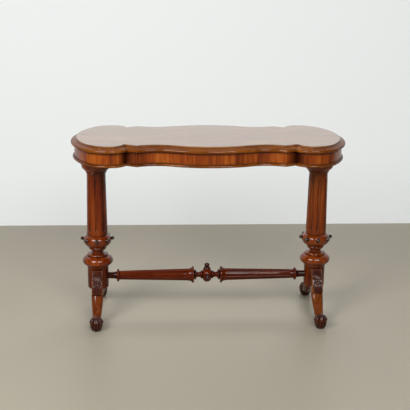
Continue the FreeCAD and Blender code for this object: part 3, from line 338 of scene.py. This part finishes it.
# The left column is redder, the right one more golden
turned_tones = (
    (0.066, 0.007, 0.001), (0.150, 0.020, 0.001), (0.240, 0.045, 0.003), (0.32, 0.08, 0.015), SHADE_AND_GRIME)
golden_tones = (
    (0.080, 0.011, 0.001), (0.180, 0.031, 0.002), (0.290, 0.068, 0.005), (0.34, 0.10, 0.018), SHADE_AND_GRIME)
# Painted shade darkens the flutes and the quirks of the turnings
turned_polish = {"coat": 0.7, "gloss": 0.09, "quirk": 0.022, "shade_and_grime": 0.95}
fluted_polish = {"coat": 0.45, "gloss": 0.08, "quirk": 0.014, "shade_and_grime": 0.95, "air": (0.62, 1.0)}
turned_finish = walnut("turned_walnut", turned_tones, "Z", **turned_polish)
fluted_finish = walnut("fluted_walnut", turned_tones, "Z", **fluted_polish)
golden_turned_finish = walnut("golden_turned_walnut", golden_tones, "Z", **turned_polish)
golden_fluted_finish = walnut("golden_fluted_walnut", golden_tones, "Z", **fluted_polish)
drum_finish = walnut("drum_walnut", (
    (0.042, 0.005, 0.001), (0.098, 0.013, 0.001), (0.160, 0.029, 0.002), (0.24, 0.06, 0.012), SHADE_AND_GRIME),
    "Z", coat=0.35, quirk=0.022, shade_and_grime=0.95)

# The plain necks of the arms are darkened, and the gaps round the hub take painted shade
dark_necks = (neck_mask, (0.018, 0.004, 0.002))
stretcher_finish = walnut("stretcher_walnut", (
    (0.034, 0.004, 0.001), (0.084, 0.009, 0.001), (0.145, 0.023, 0.002), (0.21, 0.05, 0.012), SHADE_AND_GRIME),
    "X", specular=0.02, coat=0.34, gloss=0.06, shade_and_grime=0.95, air=(0.6, 1.0), stain_and_shade=dark_necks)

leg_polish = {"coat": 0.55, "gloss": 0.08, "shade_and_grime": 0.85, "stain_and_shade": (toe_mask, (0.030, 0.006, 0.002))}
leg_finish = walnut("leg_walnut", (
    (0.050, 0.007, 0.001), (0.115, 0.020, 0.002), (0.185, 0.042, 0.006), (0.28, 0.08, 0.015), SHADE_AND_GRIME),
    "Z", **leg_polish)
golden_leg_finish = walnut("golden_leg_walnut", (
    (0.060, 0.010, 0.001), (0.140, 0.029, 0.003), (0.225, 0.060, 0.008), (0.30, 0.10, 0.02), SHADE_AND_GRIME),
    "Z", **leg_polish)

# On the carving the ridges are lightened strongly, worn polish with a painted highlight, and its hollows
# take painted shade
carved_finish = walnut("carved_dark_walnut", (
    (0.022, 0.004, 0.002), (0.042, 0.008, 0.004), (0.070, 0.015, 0.007), (0.20, 0.066, 0.034), DEEP_SHADE_AND_GRIME),
    "Z", roughness=0.28, specular=0.06, gloss=0.12, wear_and_sheen=0.8, shade_and_grime=0.95, quirk=0.008)
button_finish = walnut("polished_dark_buttons", (
    (0.012, 0.003, 0.001), (0.024, 0.006, 0.003), (0.042, 0.011, 0.005), (0.07, 0.02, 0.01), DEEP_SHADE_AND_GRIME),
    "Z", roughness=0.2, specular=0.25, coat=0.7, gloss=0.07, wear_and_sheen=0.2, shade_and_grime=0.5, quirk=0.006)
finial_finish = walnut("finial_walnut", (
    (0.016, 0.003, 0.001), (0.036, 0.006, 0.002), (0.062, 0.012, 0.003), (0.10, 0.03, 0.01), DEEP_SHADE_AND_GRIME),
    "Z", coat=0.34, gloss=0.08, quirk=0.006)
softwood_finish = raw_softwood("raw_inner_softwood")

FINISH_OF = {
    "walnut_top": top_finish, "walnut_moulding": moulding_finish, "walnut_frieze": frieze_finish,
    "walnut_turned": turned_finish, "walnut_carved": carved_finish, "inner_softwood": softwood_finish,
}
# Pieces whose finish is nearer to the real one than that of their slot, by the start of their names
NEARER_FINISH = (
    ("stretcher", stretcher_finish), ("boss_finial", finial_finish), ("boss_buttons", button_finish),
    ("cup_buttons", button_finish), ("drum", drum_finish),
    ("shaft_left", fluted_finish), ("shaft_right", golden_fluted_finish),
    ("top_moulding_left", end_moulding_finish), ("top_moulding_right", end_moulding_finish),
    ("bead_left", end_moulding_finish), ("bead_right", end_moulding_finish),
    ("leg_front_left", leg_finish), ("leg_back_left", leg_finish),
    ("leg_front_right", golden_leg_finish), ("leg_back_right", golden_leg_finish),
)
for entry in frame["record"]["subparts"]:
    label = entry["node"]
    finish = FINISH_OF[entry["material_slot"]]
    for start, nearer in NEARER_FINISH:
        if label.startswith(start):
            finish = nearer
    mesh = frame["nodes"][label].data
    mesh.materials.clear()
    mesh.materials.append(finish)


# Carving on the legs

# Size of the smallest cut that the carved skin keeps
CARVED_GRAIN = 0.5 * MM
# Tip of a leaf: from which share of its length below the middle it is narrowed, and to what share
LEAF_TIP = ((0.30, 0.82), (0.40, 0.62))
# Points of a leaf are sunk for its vein when they lie this near to its middle line, as a share of its width,
# and this far out, as a share of its rise
LEAF_VEIN = 0.10
# Width of a knee panel's foot as a share of its head
PANEL_TAPER = 0.86
# Leaves on a toe: base and tip as degrees to the side and up, and width in millimetres
TOE_LEAVES = (
    ((0, 112), (0, 22), 14),
    ((72, 84), (38, 18), 12), ((-72, 84), (-38, 18), 12),
    ((112, 62), (80, 12), 11), ((-112, 62), (-80, 12), 11),
)
# A leaf on a toe is longer than the straight line from its base to its tip
TOE_LEAF_DRAPE = 1.2
# Its rise and the depth of its vein, in millimetres
TOE_LEAF_RISE = 7.0
TOE_LEAF_VEIN = 1.2


def pick_points(piece, test):
    """Select the points of a piece in edit mode that pass a test of their place."""
    shape = bmesh.from_edit_mesh(piece.data)
    for vert in shape.verts:
        vert.select_set(test(vert.co))
    shape.select_flush(True)
    bmesh.update_edit_mesh(piece.data)


def leaflet(length, width, rise, vein, point):
    """One carved leaf: an almond with a sunk vein and a pointed tip, its tip towards -Z, its face to -Y."""
    bpy.ops.object.select_all(action="DESELECT")
    bpy.ops.mesh.primitive_uv_sphere_add(segments=28, ring_count=20, radius=0.5)
    piece = bpy.context.object
    bpy.ops.object.mode_set(mode="EDIT")
    bpy.ops.mesh.select_all(action="SELECT")
    bpy.ops.transform.resize(value=(width, rise, length))
    pick_points(piece, lambda co: abs(co.x) < LEAF_VEIN * width and co.y < -LEAF_VEIN * rise)
    bpy.ops.transform.translate(value=(0, vein, 0))
    for share, narrow in LEAF_TIP:
        pick_points(piece, lambda co: co.z < -share * length)
        bpy.ops.transform.resize(value=(1 - (1 - narrow) * point, 1, 1), center_override=(0, 0, 0))
    bpy.ops.object.mode_set(mode="OBJECT")
    return piece


def lay(piece, base, tip, face):
    """Lay a leaf over a leg from its base to its tip, its face outwards."""
    out = Vector(face).normalized()
    down = tip - base
    down = (down - out * down.dot(out)).normalized()
    turn = Matrix((out.cross(down), -out, -down)).transposed().to_4x4()
    piece.data.transform(Matrix.Translation((base + tip) / 2) @ turn)


def knee_spot(degrees):
    """Place and outward direction on the middle line of the front left knee's bow."""
    angle = math.radians(degrees)
    reach = KNEE_CENTRE[0] + KNEE_RADIUS * math.cos(angle)
    level = KNEE_CENTRE[1] + KNEE_RADIUS * math.sin(angle)
    spot = Vector((-COLUMN_X, -reach * MM, level * MM))
    return spot, (0, -math.cos(angle), math.sin(angle))


def toe_spot(side, rise):
    """Place and outward direction on the front left toe, by angles to the side and up."""
    turn = math.radians(side)
    tilt = math.radians(rise)
    ray = Vector((math.sin(turn) * math.cos(tilt), math.cos(turn) * math.cos(tilt), math.sin(tilt)))
    outwards, across, up = TOE_HALF
    half = (across, outwards, up)
    size = 1 / math.sqrt(sum((r / h) ** 2 for r, h in zip(ray, half)))
    at = ray * size
    spot = Vector((-COLUMN_X + at.x * MM, -(TOE_CENTRE[0] + at.y) * MM, (TOE_CENTRE[1] + at.z) * MM))
    out = Vector((at.x / half[0] ** 2, -at.y / half[1] ** 2, at.z / half[2] ** 2))
    return spot, out


def joined(name, pieces):
    """Pieces made one carved skin, softened and named."""
    bpy.ops.object.select_all(action="DESELECT")
    for piece in pieces:
        piece.select_set(True)
    bpy.context.view_layer.objects.active = pieces[0]
    bpy.ops.object.join()
    whole = bpy.context.object
    whole.name = name
    whole.data.name = name
    remesh = whole.modifiers.new("one_skin", "REMESH")
    remesh.mode = "VOXEL"
    remesh.voxel_size = CARVED_GRAIN
    bpy.ops.object.modifier_apply(modifier=remesh.name)
    soften = whole.modifiers.new("rubbed", "SMOOTH")
    soften.factor = 0.5
    soften.iterations = 2
    bpy.ops.object.modifier_apply(modifier=soften.name)
    bpy.ops.object.shade_smooth()
    return whole


def flat_spot(across, up, lift):
    """Place on a knee panel while it lies flat, in millimetres from the middle of its foot."""
    return Vector((across * MM, -lift * MM, (up - KNEE_LENGTH / 2) * MM))


def slab(up, lift, width, thick, length, edge):
    """Block with rounded edges on the middle line of a flat panel, narrowed towards its foot."""
    bpy.ops.object.select_all(action="DESELECT")
    bpy.ops.mesh.primitive_cube_add(size=1)
    piece = bpy.context.object
    piece.data.transform(Matrix.Diagonal((width * MM, thick * MM, length * MM, 1)))
    bpy.ops.object.mode_set(mode="EDIT")
    pick_points(piece, lambda co: co.z < 0)
    bpy.ops.transform.resize(value=(PANEL_TAPER, 1, 1), center_override=(0, 0, 0))
    bpy.ops.object.mode_set(mode="OBJECT")
    rounding = piece.modifiers.new("rounding", "BEVEL")
    rounding.width = edge * MM
    rounding.segments = 3
    bpy.ops.object.modifier_apply(modifier=rounding.name)
    piece.data.transform(Matrix.Translation(flat_spot(0, up, lift)))
    return piece


def flat_leaf(base, tip, lift, width, rise, vein, point=1.0):
    """Leaf on a flat panel from its base to its tip."""
    start = flat_spot(*base, lift)
    end = flat_spot(*tip, lift)
    piece = leaflet((end - start).length, width * MM, rise * MM, vein * MM, point)
    lay(piece, start, end, (0, -1, 0))
    return piece


def bent(piece, radius):
    """A flat piece bent backwards along its length over a round."""
    levels = [vert.co.z for vert in piece.data.vertices]
    bpy.ops.object.select_all(action="DESELECT")
    piece.select_set(True)
    bpy.context.view_layer.objects.active = piece
    bow = piece.modifiers.new("bow", "SIMPLE_DEFORM")
    bow.deform_method = "BEND"
    bow.deform_axis = "X"
    bow.angle = (max(levels) - min(levels)) / (radius * MM)
    bpy.ops.object.modifier_apply(modifier=bow.name)


def knee_carving():
    """Panel on the bow of a knee: a palmette of leaves above a tie of bosses, husks and a plain tongue."""
    ground = slab(up=49.5, lift=-0.5, width=39, thick=3.2, length=95, edge=1.0)
    tongue = slab(up=18.5, lift=1.8, width=25, thick=5.4, length=33, edge=2.2)
    # Each leaf, in millimetres: base and tip across and up the panel, lift, width, rise, depth of its vein,
    # and for a blunt one how pointed it is
    pieces = [ground, tongue, flat_leaf((0, 47), (0, 95.5), 1.6, 10, 9.5, 1.6)]
    for side in (-1, 1):
        pieces += [
            flat_leaf((3 * side, 50), (11 * side, 94.5), 1.4, 9.5, 9.5, 1.6),
            flat_leaf((6 * side, 48), (17 * side, 82), 1.2, 9, 9, 1.5),
            flat_leaf((7 * side, 46), (17.5 * side, 61), 1.0, 8, 8.5, 1.3),
            flat_leaf((11 * side, 43.5), (11 * side, 34.5), 1.2, 10, 10, 0.0, point=0.0),
            flat_leaf((4.5 * side, 45), (7.5 * side, 29), 2.4, 7, 8, 1.1),
            flat_leaf((15 * side, 33), (13.5 * side, 3), 0.8, 4, 6, 0.0, point=0.2),
        ]
    pieces.append(flat_leaf((0, 47), (0, 25), 2.8, 8.5, 8.5, 1.4))
    panel = joined("knee_carving_front_left", pieces)
    bent(panel, KNEE_RADIUS)
    spot, face = knee_spot(KNEE_MIDDLE)
    lay(panel, spot, spot + Vector((0, -face[2], face[1])) * MM, face)
    return panel


def toe_carving():
    """Leaf cap draped over a toe from the ankle: a pointed middle leaf between two pairs of side leaves."""
    pieces = []
    for first, last, width in TOE_LEAVES:
        base, _ = toe_spot(*first)
        tip, _ = toe_spot(*last)
        middle, face = toe_spot((first[0] + last[0]) / 2, (first[1] + last[1]) / 2)
        length = (tip - base).length * TOE_LEAF_DRAPE
        piece = leaflet(length, width * MM, TOE_LEAF_RISE * MM, TOE_LEAF_VEIN * MM, point=1.0)
        bent(piece, TOE_HALF[0])
        half = (tip - base) / 2
        lay(piece, middle - half, middle + half, face)
        pieces.append(piece)
    return joined("toe_carving_front_left", pieces)


def copied(first, name, move):
    """The same piece again, with its own mesh moved to its place."""
    bpy.ops.object.select_all(action="DESELECT")
    first.select_set(True)
    bpy.context.view_layer.objects.active = first
    bpy.ops.object.duplicate()
    copy = bpy.context.object
    copy.name = name
    copy.data.name = name
    copy.data.transform(move)
    return copy


def dressed(piece, finish):
    """Finish a piece and fix it to the table."""
    piece.data.materials.clear()
    piece.data.materials.append(finish)
    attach(piece, "root")


def on_every_leg(first, stem):
    """A carving on all four legs: the first one, and its copies on the other three."""
    across = Matrix.Translation((2 * COLUMN_X, 0, 0))
    column = Matrix.Translation((-COLUMN_X, 0, 0))
    round_column = column @ Matrix.Rotation(math.pi, 4, "Z") @ column.inverted()
    pieces = [
        first,
        copied(first, f"{stem}_front_right", across),
        copied(first, f"{stem}_back_left", round_column),
        copied(first, f"{stem}_back_right", across @ round_column),
    ]
    for piece in pieces:
        dressed(piece, carved_finish)


on_every_leg(knee_carving(), "knee_carving")
on_every_leg(toe_carving(), "toe_carving")


# Turned pieces of the columns and of the stretcher

# Outlines from the foot upwards: radius and level in millimetres, and how far the stretch up to there
# swells outwards or, below nought, is hollowed
CAPITAL_OUTLINE = (
    (36.5, 575.0, 0), (38.2, 583.2, 2.4), (41.6, 584.2, 0), (47.0, 591.2, 1.2), (49.4, 591.8, 0),
    (52.2, 618.6, 5.7), (52.2, 621.8, 0), (56.2, 622.2, 0), (57.0, 623.4, 0), (57.0, 643.0, 0),
)
CUP_OUTLINE = (
    (22.2, 258.0, 0), (22.2, 261.5, 0), (28.6, 268.2, -2.2), (32.4, 280.2, 3.5), (54.6, 308.4, 6.3),
    (36.8, 329.2, 5.0), (36.6, 330.0, 0),
)
BULB_OUTLINE = (
    (41.0, 196.0, 0), (41.8, 205.4, 2.1), (59.6, 224.2, 5.1), (39.2, 243.6, 5.8), (36.4, 252.2, 2.9),
    (22.2, 258.0, -1.8),
)
FINIAL_OUTLINE = (
    (14.5, 183.0, 0), (6.8, 192.4, 1.5), (6.8, 193.4, 0), (10.4, 198.8, 1.0), (2.4, 205.8, 2.3),
)
# The same for the flared end of a stretcher arm, from the middle of the table outwards
ARM_FLARE_OUTLINE = ((29.4, 59.0, 0), (23.9, 78.4, -1.2))
# Steps of an arc and of a full round, and the angle in degrees past which a quirk stays crisp
ARC_STEPS = 10
ROUND_STEPS = 96
CRISP_ANGLE = 42


def rings_of(outline):
    """Rings along the outline of a turning, its swellings and hollows drawn as arcs."""
    rings = [outline[0][:2]]
    for (radius, level, _), (next_radius, next_level, swell) in zip(outline, outline[1:]):
        out = next_radius - radius
        up = next_level - level
        chord = math.hypot(out, up)
        half = 2 * math.atan2(2 * swell, chord)
        for step in range(1, ARC_STEPS if swell else 1):
            turn = half * (2 * step / ARC_STEPS - 1)
            along = (1 + math.sin(turn) / math.sin(half)) / 2
            rise = (math.cos(turn) - math.cos(half)) / (2 * math.sin(half))
            rings.append((radius + out * along + up * rise, level + up * along - out * rise))
        rings.append((next_radius, next_level))
    return rings


def turned(name, outline, axis):
    """Piece turned on the lathe: a disc drawn out ring by ring, quirks kept crisp, then set on its axis."""
    rings = rings_of(outline)
    bpy.ops.object.select_all(action="DESELECT")
    bpy.ops.mesh.primitive_circle_add(vertices=ROUND_STEPS, radius=rings[0][0] * MM, fill_type="NGON")
    piece = bpy.context.object
    piece.name = name
    piece.data.name = name
    bpy.ops.object.mode_set(mode="EDIT")
    bpy.ops.mesh.select_all(action="SELECT")
    for (radius, level), (next_radius, next_level) in zip(rings, rings[1:]):
        rise = (next_level - level) * MM
        wider = next_radius / radius
        bpy.ops.mesh.extrude_region_move(TRANSFORM_OT_translate={"value": (0, 0, rise)})
        bpy.ops.transform.resize(value=(wider, wider, 1), center_override=(0, 0, 0))
    bpy.ops.mesh.select_all(action="SELECT")
    bpy.ops.mesh.normals_make_consistent(inside=False)
    bpy.ops.object.mode_set(mode="OBJECT")
    piece.data.transform(axis @ Matrix.Translation((0, 0, rings[0][1] * MM)))
    bpy.ops.object.shade_smooth_by_angle(angle=math.radians(CRISP_ANGLE))
    return piece


def on_both_columns(stem, outline):
    """A turning on each column, in place of its plainer solid."""
    first = turned(f"turned_{stem}_left", outline, Matrix.Translation((-COLUMN_X, 0, 0)))
    second = copied(first, f"turned_{stem}_right", Matrix.Translation((2 * COLUMN_X, 0, 0)))
    dressed(first, turned_finish)
    dressed(second, golden_turned_finish)
    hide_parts(f"{stem}_left")
    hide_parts(f"{stem}_right")


on_both_columns("capital", CAPITAL_OUTLINE)
on_both_columns("cup", CUP_OUTLINE)
on_both_columns("bulb", BULB_OUTLINE)

# The flares lie round the solid arms, and the finial stands in place of its plainer solid
arm_axis = Matrix.Translation((0, 0, STRETCHER_LEVEL)) @ Matrix.Rotation(math.pi / 2, 4, "Y")
right_flare = turned("arm_flare_right", ARM_FLARE_OUTLINE, arm_axis)
left_flare = copied(right_flare, "arm_flare_left", Matrix.Rotation(math.pi, 4, "Z"))
dressed(right_flare, stretcher_finish)
dressed(left_flare, stretcher_finish)
finial = turned("turned_finial", FINIAL_OUTLINE, Matrix.Identity(4))
dressed(finial, finial_finish)
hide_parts("boss_finial")


# Stage: pale floor, pale wall open from behind, soft lamps and the camera

# Sizes and places in metres, angles in radians
FLOOR_SIZE = 80
FLOOR_PAINT = (0.35, 0.32, 0.255)
FLOOR_GLOW = (0.98, 0.92, 0.82)
# The floor looks paler from the first distance from its middle to the second, up to this strength
FLOOR_PALER = (1.6, 10.0)
FLOOR_STRENGTH = 0.72
WALL_SIZE = 14
WALL_Y = 1.22
WALL_PAINT = (0.42, 0.44, 0.44)
WALL_GLOW = (0.98, 1.0, 1.0)
WALL_STRENGTH = 0.45
AIR_COLOUR = (0.92, 0.96, 1.0)
AIR_STRENGTH = 0.07
LAMP_COLOUR = (1.0, 0.985, 0.97)
LAMP_AIM = (0, 0, 0.4)
CAMERA_SPOT = (-0.22002, -3.38759, 1.37896)
CAMERA_YAW = -0.061741
CAMERA_PITCH = 0.268760
CAMERA_ROLL = 0.011640
# Width of the sensor in millimetres, and focal length and width of the picture in pixels
SENSOR_WIDTH = 36.0
FOCAL_PIXELS = 903.70
PICTURE_PIXELS = 410


def stage_finish(name, colour, roughness, glow):
    """Plain stage paint with a glow whose strength is still to be joined."""
    material, tree, shader = new_finish(name)
    shader.inputs["Base Color"].default_value = (*colour, 1)
    shader.inputs["Roughness"].default_value = roughness
    shader.inputs["Specular IOR Level"].default_value = 0.2
    shader.inputs["Emission Color"].default_value = (*glow, 1)
    return material, tree, shader


def in_view(tree, ray):
    """One where the camera, a gloss or glass sees the stage, nought for the light it gives."""
    seen = combine(tree, "ADD", ray.outputs["Is Camera Ray"], ray.outputs["Is Glossy Ray"])
    return combine(tree, "ADD", seen, ray.outputs["Is Transmission Ray"])


def lay_floor():
    """Pale floor that takes the shadow and looks paler far away."""
    bpy.ops.object.select_all(action="DESELECT")
    bpy.ops.mesh.primitive_plane_add(size=FLOOR_SIZE, location=(0, 0, 0))
    floor = bpy.context.object
    floor.name = "floor"
    paint, tree, shader = stage_finish("pale_floor", FLOOR_PAINT, roughness=0.42, glow=FLOOR_GLOW)
    seen = in_view(tree, tree.nodes.new("ShaderNodeLightPath"))
    place = tree.nodes.new("ShaderNodeTexCoord")
    away = tree.nodes.new("ShaderNodeVectorMath")
    away.operation = "LENGTH"
    tree.links.new(place.outputs["Object"], away.inputs[0])
    far = span(tree, away.outputs["Value"], FLOOR_PALER, (0.0, FLOOR_STRENGTH))
    far.node.interpolation_type = "SMOOTHSTEP"
    tree.links.new(combine(tree, "MULTIPLY", seen, far), shader.inputs["Emission Strength"])
    floor.data.materials.append(paint)


def raise_wall():
    """Pale wall behind the table, clear from behind and to the light of the lamps."""
    bpy.ops.object.select_all(action="DESELECT")
    bpy.ops.mesh.primitive_plane_add(
        size=WALL_SIZE, location=(0, WALL_Y, WALL_SIZE / 2), rotation=(math.pi / 2, 0, 0))
    wall = bpy.context.object
    wall.name = "wall"
    paint, tree, shader = stage_finish("pale_wall", WALL_PAINT, roughness=0.7, glow=WALL_GLOW)
    ray = tree.nodes.new("ShaderNodeLightPath")
    glow = combine(tree, "MULTIPLY", in_view(tree, ray), WALL_STRENGTH)
    tree.links.new(glow, shader.inputs["Emission Strength"])
    side = tree.nodes.new("ShaderNodeNewGeometry")
    clear = tree.nodes.new("ShaderNodeBsdfTransparent")
    either = tree.nodes.new("ShaderNodeMixShader")
    output = next(n for n in tree.nodes if n.type == "OUTPUT_MATERIAL")
    through = combine(tree, "MAXIMUM", side.outputs["Backfacing"], ray.outputs["Is Shadow Ray"])
    tree.links.new(through, either.inputs["Fac"])
    tree.links.new(shader.outputs["BSDF"], either.inputs[1])
    tree.links.new(clear.outputs["BSDF"], either.inputs[2])
    tree.links.new(either.outputs["Shader"], output.inputs["Surface"])
    wall.data.materials.append(paint)


def fill_air():
    """Faint light from all round."""
    world = bpy.data.worlds.new("studio")
    bpy.context.scene.world = world
    world.use_nodes = True
    background = world.node_tree.nodes["Background"]
    background.inputs["Color"].default_value = (*AIR_COLOUR, 1)
    background.inputs["Strength"].default_value = AIR_STRENGTH


def hang_lamp(name, spot, wide, high, power):
    """Soft oblong lamp aimed at the table."""
    data = bpy.data.lights.new(name, "AREA")
    data.shape = "RECTANGLE"
    data.size = wide
    data.size_y = high
    data.energy = power
    data.color = LAMP_COLOUR
    made = bpy.data.objects.new(name, data)
    bpy.context.scene.collection.objects.link(made)
    made.location = spot
    made.rotation_euler = (Vector(LAMP_AIM) - Vector(spot)).to_track_quat("-Z", "Y").to_euler()


def set_camera():
    """Camera at the photograph's place, turned by its yaw, pitch and roll."""
    camera = bpy.data.objects.new("camera", bpy.data.cameras.new("camera"))
    bpy.context.scene.collection.objects.link(camera)
    camera.data.sensor_fit = "HORIZONTAL"
    camera.data.sensor_width = SENSOR_WIDTH
    camera.data.lens = FOCAL_PIXELS / PICTURE_PIXELS * SENSOR_WIDTH
    upright = Vector((0, 0, 1))
    right = Vector((math.cos(CAMERA_YAW), math.sin(CAMERA_YAW), 0))
    level = Vector((-math.sin(CAMERA_YAW), math.cos(CAMERA_YAW), 0))
    ahead = level * math.cos(CAMERA_PITCH) - upright * math.sin(CAMERA_PITCH)
    above = level * math.sin(CAMERA_PITCH) + upright * math.cos(CAMERA_PITCH)
    tilted_right = right * math.cos(CAMERA_ROLL) + above * math.sin(CAMERA_ROLL)
    tilted_up = above * math.cos(CAMERA_ROLL) - right * math.sin(CAMERA_ROLL)
    turn = Matrix((tilted_right, tilted_up, -ahead)).transposed().to_4x4()
    camera.matrix_world = Matrix.Translation(CAMERA_SPOT) @ turn
    bpy.context.scene.camera = camera


lay_floor()
raise_wall()
fill_air()
hang_lamp("left_window", (-1.79, -2.14, 2.1), wide=1.5, high=1.1, power=76)
hang_lamp("right_window", (1.06, -4.0, 3.1), wide=2.3, high=1.5, power=136)
hang_lamp("back_fill", (0.5, 2.7, 2.9), wide=2.6, high=1.6, power=58)
hang_lamp("ceiling", (0, -0.4, 3.2), wide=3.0, high=2.4, power=6)
set_camera()
bpy.context.scene.view_settings.view_transform = "Standard"
